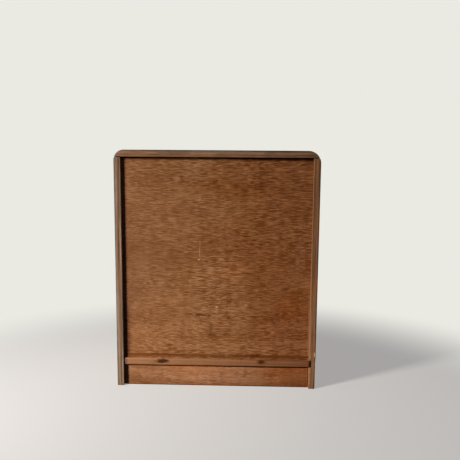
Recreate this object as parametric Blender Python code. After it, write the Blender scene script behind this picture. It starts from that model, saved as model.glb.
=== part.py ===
"""Small free-standing chest of four drawers, in metres with +Z up.

The drawers face -Y and the plywood back faces +Y. The origin is on the floor, under the middle
of the whole object, knobs included. Left and right are those of someone who faces the drawers.
"""

import math

import bmesh
import bpy
from mathutils import Matrix, Vector

# Clearances and helpers
FIT = 0.0003
OVERRUN = 0.002
ROUND_STEPS = 24

# Case
CASE_WIDTH = 0.330
CASE_DEPTH = 0.231
CASE_HEIGHT = 0.392
SIDE_THICKNESS = 0.011
TOP_THICKNESS = 0.0112
BOTTOM_THICKNESS = 0.011
LEFT_CORNER_RADIUS = 0.020
RIGHT_CORNER_RADIUS = 0.0165
CORNER_STEPS = 10
WORN_EDGE = 0.001
PLINTH_HEIGHT = 0.0367

# Bottom board: its housings in the sides are stopped, but the left one runs out at the rear edge
BOTTOM_HOUSING = 0.004
BOTTOM_SHOULDER = 0.012
BOTTOM_END_GAP = 0.0014
BOTTOM_LEFT_REACH = 0.0022
BOTTOM_SETBACK = 0.0015

# Back panel, which slides in grooves
PANEL_THICKNESS = 0.004
PANEL_RECESS = 0.0045
PANEL_HOUSING = 0.004
PANEL_FOOT = 0.003

# Plinth boards and the glue blocks behind them
PLINTH_THICKNESS = 0.009
PLINTH_LIFT = 0.0002
PLINTH_BACK_RECESS = 0.0052
TOE_RECESS = 0.012
BLOCK_LEG = 0.016
BLOCK_HEIGHT = 0.028

# Front rails, side runners and drawer stops
DRAWER_COUNT = 4
RAIL_THICKNESS = 0.009
RAIL_DEPTH = 0.028
RAIL_HOUSING = 0.004
RUNNER_WIDTH = 0.010
RUNNER_END_WALL = 0.003
STOP_WIDTH = 0.024
STOP_LENGTH = 0.010
STOP_HEIGHT = 0.004
STOP_PLACE_SHARE = 0.62

# Drawers
FRONT_SETBACK = 0.0005
FRONT_THICKNESS = 0.014
FRONT_REVEAL = 0.0008
FRONT_ARRIS = 0.0012
DRAWER_SIDE_THICKNESS = 0.008
DRAWER_BACK_THICKNESS = 0.007
DRAWER_TOP_CLEARANCE = 0.0018
DRAWER_REAR_CLEARANCE = 0.004
DRAWER_EASED_TOP = 0.0012
BACK_INSET = 0.010
BACK_HOUSING = 0.003
BACK_DROP = 0.006
BOTTOM_PLY = 0.003
GROOVE_DEPTH = 0.004
GROOVE_HEIGHT = 0.007

# Dovetails at the front corners of a drawer
TAIL_COUNT = 3
TAIL_LAP = 0.005
TAIL_SLOPE_SHARE = 1 / 6
PIN_TIP = 0.004
EDGE_PIN = 0.004

# Turned knob
KNOB_LENGTH = 0.020
KNOB_RADIUS = 0.0115
KNOB_NECK_RADIUS = 0.0058
KNOB_COLLAR_RADIUS = 0.0085
KNOB_COLLAR_LENGTH = 0.003
SPIGOT_RADIUS = 0.0045
KNOB_HEIGHT_SHARE = 0.5
KNOB_WAIST_SHARE = 0.38
KNOB_CURVE_STEPS = 7

# Splinter lost from the outer rear edge of the left side board
CHIP_WIDTH = 0.0018
CHIP_DEPTH = 0.004
CHIP_HEIGHT = 0.056
CHIP_RUNOUT = 0.012

# Places that follow from the sizes
TOTAL_DEPTH = CASE_DEPTH + KNOB_LENGTH + FIT - FRONT_SETBACK
REAR = TOTAL_DEPTH / 2
FRONT = REAR - CASE_DEPTH
INNER_HALF = CASE_WIDTH / 2 - SIDE_THICKNESS
TOP_UNDERSIDE = CASE_HEIGHT - TOP_THICKNESS
FLOOR_TOP = PLINTH_HEIGHT + BOTTOM_THICKNESS
PANEL_REAR = REAR - PANEL_RECESS
PANEL_FRONT = PANEL_REAR - PANEL_THICKNESS
BAY_HEIGHT = (TOP_UNDERSIDE - FLOOR_TOP - (DRAWER_COUNT - 1) * RAIL_THICKNESS) / DRAWER_COUNT
BAY_PITCH = BAY_HEIGHT + RAIL_THICKNESS
DRAWER_HALF = INNER_HALF - FRONT_REVEAL
DRAWER_LENGTH = PANEL_FRONT - DRAWER_REAR_CLEARANCE - FRONT - FRONT_SETBACK
DRAWER_INNER_HALF = DRAWER_HALF - DRAWER_SIDE_THICKNESS
DRAWER_PLY_LOW = FIT + GROOVE_HEIGHT
DRAWER_PLY_HIGH = DRAWER_PLY_LOW + BOTTOM_PLY
DRAWER_SIDE_TOP = BAY_HEIGHT - DRAWER_TOP_CLEARANCE
DRAWER_BACK_REAR = DRAWER_LENGTH - BACK_INSET
DRAWER_BACK_FRONT = DRAWER_BACK_REAR - DRAWER_BACK_THICKNESS

# Linear colour and roughness of each wood
FINISHES = {
    "weathered_board": ((0.245, 0.150, 0.092), 0.72),
    "lauan_ply": ((0.246, 0.102, 0.042), 0.62),
    "plinth_board": ((0.320, 0.145, 0.070), 0.66),
    "frame_wood": ((0.330, 0.205, 0.115), 0.70),
    "drawer_front": ((0.215, 0.095, 0.045), 0.55),
    "drawer_wood": ((0.450, 0.300, 0.170), 0.70),
    "turned_knob": ((0.130, 0.055, 0.026), 0.42),
}


def clear_scene():
    """Take every object out of the scene."""
    for item in list(bpy.data.objects):
        bpy.data.objects.remove(item)


def wood(name):
    """The material of one wood, made once."""
    if name in bpy.data.materials:
        return bpy.data.materials[name]
    colour, roughness = FINISHES[name]
    material = bpy.data.materials.new(name)
    material.use_nodes = True
    shader = material.node_tree.nodes["Principled BSDF"]
    shader.inputs["Base Color"].default_value = (*colour, 1)
    shader.inputs["Roughness"].default_value = roughness
    shader.inputs["Metallic"].default_value = 0
    return material


def finished_mesh(bm, name):
    """Turn a bmesh into a mesh whose faces point out."""
    bmesh.ops.recalc_face_normals(bm, faces=bm.faces)
    mesh = bpy.data.meshes.new(name)
    bm.to_mesh(mesh)
    bm.free()
    return mesh


def lofted(rings, name="loft"):
    """A closed solid through rings of points, all with as many points, capped at both ends."""
    bm = bmesh.new()
    loops = [[bm.verts.new(point) for point in ring] for ring in rings]
    for low, high in zip(loops, loops[1:]):
        for i, corner in enumerate(low):
            after = (i + 1) % len(low)
            bm.faces.new((corner, low[after], high[after], high[i]))
    bm.faces.new(loops[0])
    bm.faces.new(loops[-1])
    return finished_mesh(bm, name)


def prism(outline, axis, start, end):
    """An outline drawn square to an axis, run from start to end along it.

    The outline's two numbers are the coordinates that are left, in the order X, Y, Z.
    """
    place = "XYZ".index(axis)
    rings = []
    for distance in (start, end):
        ring = []
        for pair in outline:
            point = list(pair)
            point.insert(place, distance)
            ring.append(Vector(point))
        rings.append(ring)
    return lofted(rings)


def box(low, high):
    """A box between two opposite corners."""
    low, high = Vector(low), Vector(high)
    bm = bmesh.new()
    middle = Matrix.Translation((low + high) / 2)
    bmesh.ops.create_cube(bm, size=1, matrix=middle @ Matrix.Diagonal((*(high - low), 1)))
    return finished_mesh(bm, "box")


def eased(mesh, width=WORN_EDGE, keep=lambda edge: True):
    """Round the sharp edges that keep() picks, as sandpaper does."""
    bm = bmesh.new()
    bm.from_mesh(mesh)
    sharp = [e for e in bm.edges if e.calc_face_angle(0) > math.pi / 3 and keep(e)]
    bmesh.ops.bevel(bm, geom=sharp, offset=width, segments=2, profile=0.5, affect="EDGES")
    return finished_mesh(bm, mesh.name)


def lies_at(edge, depths):
    """Whether an edge lies in a plane square to Y, at one of the given depths."""
    return any(all(abs(v.co.y - depth) < FIT for v in edge.verts) for depth in depths)


def merged(meshes):
    """Several solids that stay clear of each other, as one mesh."""
    bm = bmesh.new()
    for mesh in meshes:
        bm.from_mesh(mesh)
    return finished_mesh(bm, "merged")


def carved(mesh, *cutters):
    """The solid that is left when each cutter has been taken out of the mesh."""
    scene = bpy.context.scene.collection
    block = bpy.data.objects.new("block", mesh)
    scene.objects.link(block)
    tools = []
    for cutter in cutters:
        tool = bpy.data.objects.new("cutter", cutter)
        tool.hide_render = True
        tool.display_type = "WIRE"
        scene.objects.link(tool)
        tools.append(tool)
        cut = block.modifiers.new("cut", "BOOLEAN")
        cut.operation = "DIFFERENCE"
        cut.solver = "EXACT"
        cut.object = tool
    bpy.context.view_layer.update()
    graph = bpy.context.evaluated_depsgraph_get()
    result = bpy.data.meshes.new_from_object(block.evaluated_get(graph))
    for used in (block, *tools):
        bpy.data.objects.remove(used)
    return result


def place(name, mesh, finish, parent=None):
    """Put a mesh into the scene as the named piece."""
    piece = bpy.data.objects.new(name, mesh)
    if not mesh.materials:
        mesh.materials.append(wood(finish))
    piece.parent = parent
    bpy.context.scene.collection.objects.link(piece)
    return piece


# Case boards


def corner_points(low, high, radius):
    """The case's rounded outer corner between two heights, from the lower one up, at +X."""
    centre_x = CASE_WIDTH / 2 - radius
    centre_z = CASE_HEIGHT - radius
    turns = [math.asin(min(max((z - centre_z) / radius, 0), 1)) for z in (low, high)]
    steps = max(1, round(CORNER_STEPS * (turns[1] - turns[0]) / (math.pi / 2)))
    points = [(CASE_WIDTH / 2, low)] if low < centre_z else []
    for i in range(steps + 1):
        turn = turns[0] + (turns[1] - turns[0]) * i / steps
        points.append((centre_x + radius * math.cos(turn), centre_z + radius * math.sin(turn)))
    return points


def mirrored(outline, hand):
    """An outline for the right side (hand 1), or its mirror image for the left side (hand -1)."""
    return [(hand * across, along) for across, along in outline]


def bay_floors():
    """The height of each bay's floor, from the lowest bay up."""
    return [FLOOR_TOP + i * BAY_PITCH for i in range(DRAWER_COUNT)]


def rail_heights():
    """The underside of each rail, from the lowest up."""
    return [floor - RAIL_THICKNESS for floor in bay_floors()[1:]]


def panel_groove(hand):
    """What the back panel's groove takes out of a side board, from the bottom board to its top."""
    low_z = FLOOR_TOP - PANEL_FOOT - FIT
    inner = hand * (INNER_HALF - OVERRUN)
    outer = hand * (INNER_HALF + PANEL_HOUSING + FIT)
    low = (min(inner, outer), PANEL_FRONT - FIT, low_z)
    high = (max(inner, outer), PANEL_REAR + FIT, CASE_HEIGHT)
    return box(low, high)


def side_housings(hand):
    """The dadoes of a side board: one for each rail with the runner behind it, and the bottom board's."""
    inner = hand * (INNER_HALF - OVERRUN)
    cutters = []
    for height in rail_heights():
        outer = hand * (INNER_HALF + RAIL_HOUSING + FIT)
        low = (min(inner, outer), FRONT - OVERRUN, height - FIT)
        high = (max(inner, outer), PANEL_FRONT - RUNNER_END_WALL, height + RAIL_THICKNESS + FIT)
        cutters.append(box(low, high))
    outer = hand * (INNER_HALF + BOTTOM_HOUSING + FIT)
    rear = REAR + OVERRUN if hand < 0 else REAR - BOTTOM_SHOULDER + FIT
    low = (min(inner, outer), FRONT + BOTTOM_SHOULDER - FIT, PLINTH_HEIGHT - FIT)
    high = (max(inner, outer), rear, FLOOR_TOP + FIT)
    cutters.append(box(low, high))
    return merged(cutters)


def chip():
    """The splinter that is missing from the left board's outer rear edge, down to the floor."""
    outer = -CASE_WIDTH / 2
    rings = []
    for height, size in ((-OVERRUN, 1), (CHIP_HEIGHT - CHIP_RUNOUT, 1), (CHIP_HEIGHT, 0)):
        across = outer + size * CHIP_WIDTH
        along = REAR - size * CHIP_DEPTH
        rings.append(
            [
                Vector((across, REAR + OVERRUN, height)),
                Vector((across, REAR, height)),
                Vector((outer, along, height)),
                Vector((outer - OVERRUN, along, height)),
                Vector((outer - OVERRUN, REAR + OVERRUN, height)),
            ]
        )
    return lofted(rings)


def build_sides():
    """Both side boards, which stand on the floor. Their tops stay square, to meet the top board."""
    top = TOP_UNDERSIDE - FIT
    for name, hand, radius in (
        ("side_left", -1, LEFT_CORNER_RADIUS),
        ("side_right", 1, RIGHT_CORNER_RADIUS),
    ):
        corner = corner_points(0, top, radius)[1:]
        outline = [(INNER_HALF, 0), (CASE_WIDTH / 2, 0), *corner, (INNER_HALF, top)]
        board = prism(mirrored(outline, hand), "Y", FRONT, REAR)
        board = eased(board, keep=lambda edge: min(v.co.z for v in edge.verts) < top - FIT)
        cutters = [panel_groove(hand), side_housings(hand)]
        if hand < 0:
            cutters.append(chip())
        place(name, carved(board, *cutters), "weathered_board")


def build_top():
    """The top board, which laps over the sides and has a groove for the back panel."""
    left = corner_points(TOP_UNDERSIDE, CASE_HEIGHT, LEFT_CORNER_RADIUS)
    right = corner_points(TOP_UNDERSIDE, CASE_HEIGHT, RIGHT_CORNER_RADIUS)
    outline = [*mirrored(left, -1)[::-1], *right]
    board = eased(prism(outline, "Y", FRONT, REAR))
    reach = INNER_HALF + PANEL_HOUSING + FIT
    low = (-reach, PANEL_FRONT - FIT, TOP_UNDERSIDE - OVERRUN)
    high = (reach, PANEL_REAR + FIT, TOP_UNDERSIDE + PANEL_HOUSING + FIT)
    place("top_board", carved(board, box(low, high)), "weathered_board")


def build_bottom():
    """The bottom board, whose tongues sit in the sides' housings."""
    body = INNER_HALF - BOTTOM_END_GAP
    tongue = INNER_HALF + BOTTOM_HOUSING
    left_corner = -INNER_HALF - BOTTOM_LEFT_REACH
    faces = (FRONT, REAR - BOTTOM_SETBACK)
    shoulders = (FRONT + BOTTOM_SHOULDER, REAR - BOTTOM_SHOULDER)
    outline = [
        (body, faces[0]),
        (body, shoulders[0]),
        (tongue, shoulders[0]),
        (tongue, shoulders[1]),
        (body, shoulders[1]),
        (body, faces[1]),
        (left_corner, faces[1]),
        (left_corner, shoulders[1]),
        (-tongue, shoulders[1]),
        (-tongue, shoulders[0]),
        (-body, shoulders[0]),
        (-body, faces[0]),
    ]
    board = eased(prism(outline, "Z", PLINTH_HEIGHT, FLOOR_TOP), keep=lambda edge: lies_at(edge, faces))
    low = (-tongue - OVERRUN, PANEL_FRONT - FIT, FLOOR_TOP - PANEL_FOOT - FIT)
    high = (tongue + OVERRUN, PANEL_REAR + FIT, FLOOR_TOP + OVERRUN)
    place("bottom_board", carved(board, box(low, high)), "weathered_board")


def build_back_panel():
    """The thin plywood back, held in the grooves of the sides, the top and the bottom."""
    reach = INNER_HALF + PANEL_HOUSING
    low = (-reach, PANEL_FRONT, FLOOR_TOP - PANEL_FOOT)
    high = (reach, PANEL_REAR, TOP_UNDERSIDE + PANEL_HOUSING)
    place("back_panel", box(low, high), "lauan_ply")


def build_plinth():
    """The two plinth boards under the bottom board, and the glue blocks in their corners."""
    reach = INNER_HALF - FIT
    front_face = FRONT + TOE_RECESS
    rear_face = REAR - PLINTH_BACK_RECESS
    for name, low_y in (("plinth_front", front_face), ("plinth_back", rear_face - PLINTH_THICKNESS)):
        low = (-reach, low_y, PLINTH_LIFT)
        high = (reach, low_y + PLINTH_THICKNESS, PLINTH_HEIGHT - FIT)
        place(name, eased(box(low, high)), "plinth_board")
    high_z = PLINTH_HEIGHT - FIT
    for end, corner_y, way in (
        ("front", front_face + PLINTH_THICKNESS + FIT, 1),
        ("back", rear_face - PLINTH_THICKNESS - FIT, -1),
    ):
        for side, hand in (("left", -1), ("right", 1)):
            corner_x = INNER_HALF - FIT
            outline = mirrored(
                [
                    (corner_x, corner_y),
                    (corner_x - BLOCK_LEG, corner_y),
                    (corner_x, corner_y + way * BLOCK_LEG),
                ],
                hand,
            )
            block = prism(outline, "Z", high_z - BLOCK_HEIGHT, high_z)
            place(f"glue_block_{end}_{side}", block, "frame_wood")


# Rails, runners and stops


def build_frame():
    """The front rails, and behind each a runner on either side for the drawer above it."""
    rear = PANEL_FRONT - RUNNER_END_WALL - FIT
    reach = INNER_HALF + RAIL_HOUSING
    for i, height in enumerate(reversed(rail_heights()), start=1):
        high_z = height + RAIL_THICKNESS
        rail = box((-reach, FRONT, height), (reach, FRONT + RAIL_DEPTH, high_z))
        rail = eased(rail, keep=lambda edge: lies_at(edge, (FRONT,)))
        place(f"rail_{i}", rail, "frame_wood")
        for side, hand in (("left", -1), ("right", 1)):
            ends = sorted((hand * reach, hand * (INNER_HALF - RUNNER_WIDTH)))
            low = (ends[0], FRONT + RAIL_DEPTH + FIT, height)
            place(f"runner_{i}_{side}", box(low, (ends[1], rear, high_z)), "frame_wood")


def build_stops():
    """Two blocks behind each drawer front, which it meets when the drawer is shut."""
    front = FRONT + FRONT_SETBACK + FRONT_THICKNESS + FIT
    for i, floor in enumerate(reversed(bay_floors()), start=1):
        for side, hand in (("left", -1), ("right", 1)):
            middle = hand * STOP_PLACE_SHARE * INNER_HALF
            low = (middle - STOP_WIDTH / 2, front, floor + FIT)
            high = (middle + STOP_WIDTH / 2, front + STOP_LENGTH, floor + FIT + STOP_HEIGHT)
            place(f"stop_{i}_{side}", box(low, high), "frame_wood")


# Drawers: y runs from the drawer's face to its rear, z from the floor of its bay


def tail_middles():
    """The height of each dovetail's middle, and half the width of its tip."""
    height = DRAWER_SIDE_TOP - FIT
    width = (height - 2 * EDGE_PIN - (TAIL_COUNT - 1) * PIN_TIP) / TAIL_COUNT
    first = FIT + EDGE_PIN + width / 2
    return [first + i * (width + PIN_TIP) for i in range(TAIL_COUNT)], width / 2


def tail_outline(middle, half_tip, root, spare):
    """One tail in the plane of a drawer side, as (y, z), grown by spare on its slopes and tip."""
    tip = TAIL_LAP + FIT
    growth = spare * math.hypot(1, TAIL_SLOPE_SHARE)
    half_root = half_tip - (root - tip) * TAIL_SLOPE_SHARE + growth
    half_end = half_tip + spare * TAIL_SLOPE_SHARE + growth
    return [
        (root, middle - half_root),
        (tip - spare, middle - half_end),
        (tip - spare, middle + half_end),
        (root, middle + half_root),
    ]


def drawer_front_mesh():
    """The drawer's front: sockets for the tails, a groove for the bottom and a hole for the knob."""
    low = (-DRAWER_HALF, 0, FRONT_REVEAL)
    high = (DRAWER_HALF, FRONT_THICKNESS, BAY_HEIGHT - FRONT_REVEAL)
    board = eased(box(low, high), FRONT_ARRIS, lambda edge: lies_at(edge, (0,)))
    middles, half_tip = tail_middles()
    sockets = []
    for hand in (-1, 1):
        inner = hand * (DRAWER_INNER_HALF - FIT)
        outer = hand * (DRAWER_HALF + OVERRUN)
        for middle in middles:
            outline = tail_outline(middle, half_tip, FRONT_THICKNESS + OVERRUN, FIT)
            sockets.append(prism(outline, "X", inner, outer))
    reach = DRAWER_INNER_HALF + GROOVE_DEPTH
    groove = box(
        (-reach, FRONT_THICKNESS - GROOVE_DEPTH - FIT, DRAWER_PLY_LOW - FIT),
        (reach, FRONT_THICKNESS + OVERRUN, DRAWER_PLY_HIGH + FIT),
    )
    hole = turned([(SPIGOT_RADIUS + FIT, -OVERRUN), (SPIGOT_RADIUS + FIT, FRONT_THICKNESS + OVERRUN)])
    hole.transform(Matrix.Translation((0, 0, KNOB_HEIGHT_SHARE * BAY_HEIGHT)))
    return carved(board, merged([*sockets, hole]), groove)


def along_top(edge, top, axis):
    """Whether an edge lies at the height of the top and runs along the given axis."""
    start, end = (v.co for v in edge.verts)
    run = abs(end[axis] - start[axis])
    return min(start.z, end.z) > top - FIT and run > (end - start).length / 2 and run > EDGE_PIN


def drawer_side_mesh(hand):
    """A drawer side with its tails, the bottom's groove and the back's housing."""
    middles, half_tip = tail_middles()
    shoulder = FRONT_THICKNESS + FIT
    outline = [(DRAWER_LENGTH, FIT), (shoulder, FIT)]
    for middle in middles:
        outline += tail_outline(middle, half_tip, shoulder, 0)
    outline += [(shoulder, DRAWER_SIDE_TOP), (DRAWER_LENGTH, DRAWER_SIDE_TOP)]
    inner = hand * DRAWER_INNER_HALF
    board = prism(outline, "X", inner, hand * DRAWER_HALF)
    board = eased(board, DRAWER_EASED_TOP, lambda edge: along_top(edge, DRAWER_SIDE_TOP, 1))
    near = inner - hand * OVERRUN
    groove_ends = sorted((near, inner + hand * (GROOVE_DEPTH + FIT)))
    groove = box(
        (groove_ends[0], FRONT_THICKNESS - GROOVE_DEPTH - FIT, DRAWER_PLY_LOW - FIT),
        (groove_ends[1], DRAWER_LENGTH + OVERRUN, DRAWER_PLY_HIGH + FIT),
    )
    housing_ends = sorted((near, inner + hand * (BACK_HOUSING + FIT)))
    housing = box(
        (housing_ends[0], DRAWER_BACK_FRONT - FIT, DRAWER_PLY_LOW),
        (housing_ends[1], DRAWER_BACK_REAR + FIT, DRAWER_SIDE_TOP + OVERRUN),
    )
    return carved(board, groove, housing)


def drawer_back_mesh():
    """The drawer's back, which stands on the bottom and is lower than the sides."""
    reach = DRAWER_INNER_HALF + BACK_HOUSING
    low = (-reach, DRAWER_BACK_FRONT, DRAWER_PLY_HIGH + FIT)
    top = DRAWER_SIDE_TOP - BACK_DROP
    back = box(low, (reach, DRAWER_BACK_REAR, top))
    return eased(back, DRAWER_EASED_TOP, lambda edge: along_top(edge, top, 0))


def drawer_bottom_mesh():
    """The drawer's plywood bottom, slid into the grooves from behind."""
    reach = DRAWER_INNER_HALF + GROOVE_DEPTH - FIT
    low = (-reach, FRONT_THICKNESS - GROOVE_DEPTH, DRAWER_PLY_LOW)
    return box(low, (reach, DRAWER_BACK_REAR, DRAWER_PLY_HIGH))


def turned(profile):
    """A shape turned about the Y axis, from (radius, y) points, closed flat at both ends."""
    rings = []
    for radius, y in profile:
        ring = []
        for i in range(ROUND_STEPS):
            turn = math.tau * i / ROUND_STEPS
            ring.append(Vector((radius * math.cos(turn), y, radius * math.sin(turn))))
        rings.append(ring)
    return lofted(rings)


def knob_profile():
    """The knob from the end of its spigot, inside the drawer, to the crown of its head."""
    base = -FIT
    collar = base - KNOB_COLLAR_LENGTH
    waist = base - KNOB_WAIST_SHARE * KNOB_LENGTH
    crown = base - KNOB_LENGTH
    widest = (waist + crown) / 2
    points = [(SPIGOT_RADIUS, FRONT_THICKNESS), (SPIGOT_RADIUS, base), (KNOB_COLLAR_RADIUS, base)]
    for i in range(KNOB_CURVE_STEPS):
        share = i / KNOB_CURVE_STEPS
        radius = KNOB_NECK_RADIUS + (KNOB_COLLAR_RADIUS - KNOB_NECK_RADIUS) * (1 - share) ** 2
        points.append((radius, collar + (waist - collar) * share))
    for i in range(KNOB_CURVE_STEPS):
        share = math.sin(math.pi / 2 * i / KNOB_CURVE_STEPS)
        radius = KNOB_NECK_RADIUS + (KNOB_RADIUS - KNOB_NECK_RADIUS) * share
        points.append((radius, waist + (widest - waist) * i / KNOB_CURVE_STEPS))
    for i in range(KNOB_CURVE_STEPS):
        turn = math.pi / 2 * i / KNOB_CURVE_STEPS
        points.append((KNOB_RADIUS * math.cos(turn), widest + (crown - widest) * math.sin(turn)))
    return [*points, (SPIGOT_RADIUS * math.sin(math.pi / KNOB_CURVE_STEPS), crown)]


def knob_mesh():
    """The turned knob with the spigot that fills the hole in the drawer's front."""
    mesh = turned(knob_profile())
    mesh.transform(Matrix.Translation((0, 0, KNOB_HEIGHT_SHARE * BAY_HEIGHT)))
    mesh.shade_smooth()
    mesh.set_sharp_from_angle(angle=math.pi / 6)
    return mesh


def build_drawers():
    """All the drawers. Their copies share meshes, and each hangs on an empty that slides along Y."""
    pieces = (
        ("front", drawer_front_mesh(), "drawer_front"),
        ("side_left", drawer_side_mesh(-1), "drawer_wood"),
        ("side_right", drawer_side_mesh(1), "drawer_wood"),
        ("back", drawer_back_mesh(), "drawer_wood"),
        ("bottom", drawer_bottom_mesh(), "lauan_ply"),
        ("knob", knob_mesh(), "turned_knob"),
    )
    for i, floor in enumerate(reversed(bay_floors()), start=1):
        slide = bpy.data.objects.new(f"drawer_{i}_slide", None)
        slide.location = (0, FRONT + FRONT_SETBACK, floor)
        bpy.context.scene.collection.objects.link(slide)
        for piece, mesh, finish in pieces:
            place(f"drawer_{i}_{piece}", mesh, finish, parent=slide)


def main():
    """Build the chest from the floor up."""
    clear_scene()
    build_sides()
    build_top()
    build_bottom()
    build_back_panel()
    build_plinth()
    build_frame()
    build_stops()
    build_drawers()


main()
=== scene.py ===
"""Looks of a small chest of four drawers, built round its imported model.

Distances are in metres in the row frame, with +Z up. The drawers face -Y and the plywood back,
which the camera looks at, faces +Y. The origin is on the floor under the middle of the chest.
"""

import logging
import math
from collections.abc import Sequence
from dataclasses import dataclass, replace
from enum import Enum
from functools import cached_property
from typing import ClassVar

import bmesh
import bpy
from mathutils import Matrix, Vector


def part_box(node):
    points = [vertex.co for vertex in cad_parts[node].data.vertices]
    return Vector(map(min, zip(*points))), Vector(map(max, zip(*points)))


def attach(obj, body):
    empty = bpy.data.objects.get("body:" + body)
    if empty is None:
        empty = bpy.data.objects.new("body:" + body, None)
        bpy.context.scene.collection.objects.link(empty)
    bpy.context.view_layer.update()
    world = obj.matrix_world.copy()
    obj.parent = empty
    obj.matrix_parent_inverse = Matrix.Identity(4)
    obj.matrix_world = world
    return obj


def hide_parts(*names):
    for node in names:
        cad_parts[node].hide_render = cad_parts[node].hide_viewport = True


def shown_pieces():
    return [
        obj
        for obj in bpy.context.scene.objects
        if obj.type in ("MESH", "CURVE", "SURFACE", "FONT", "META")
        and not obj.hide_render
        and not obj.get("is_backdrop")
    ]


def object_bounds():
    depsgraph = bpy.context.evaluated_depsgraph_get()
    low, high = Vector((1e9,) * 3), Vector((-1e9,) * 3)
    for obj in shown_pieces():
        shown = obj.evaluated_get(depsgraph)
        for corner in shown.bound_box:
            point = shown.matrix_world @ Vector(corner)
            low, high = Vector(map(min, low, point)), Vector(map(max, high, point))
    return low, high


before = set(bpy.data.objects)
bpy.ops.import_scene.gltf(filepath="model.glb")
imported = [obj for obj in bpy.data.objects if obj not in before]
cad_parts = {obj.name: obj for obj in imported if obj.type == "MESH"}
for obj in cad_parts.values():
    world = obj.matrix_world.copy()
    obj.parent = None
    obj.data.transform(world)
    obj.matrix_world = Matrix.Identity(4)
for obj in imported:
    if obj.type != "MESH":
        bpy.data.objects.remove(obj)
cad_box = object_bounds()
log = logging.getLogger("chest")

Colour = tuple[float, float, float]
Place = tuple[float, float, float]
Socket = bpy.types.NodeSocket
Tree = bpy.types.NodeTree
Source = Socket | float | Sequence[float]

DRAWER_COUNT = 4
SIDES = ("left", "right")


def linear(red: int, green: int, blue: int) -> Colour:
    """Turn a colour as a screen shows it into the values that shaders take.

    Args:
        red: Red, from 0 to 255.
        green: Green, from 0 to 255.
        blue: Blue, from 0 to 255.

    Returns:
        The linear red, green and blue.
    """
    shares = (value / 255 for value in (red, green, blue))
    return tuple(((share + 0.055) / 1.055) ** 2.4 if share > 0.04 else share / 12.92 for share in shares)


# Shader trees


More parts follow.
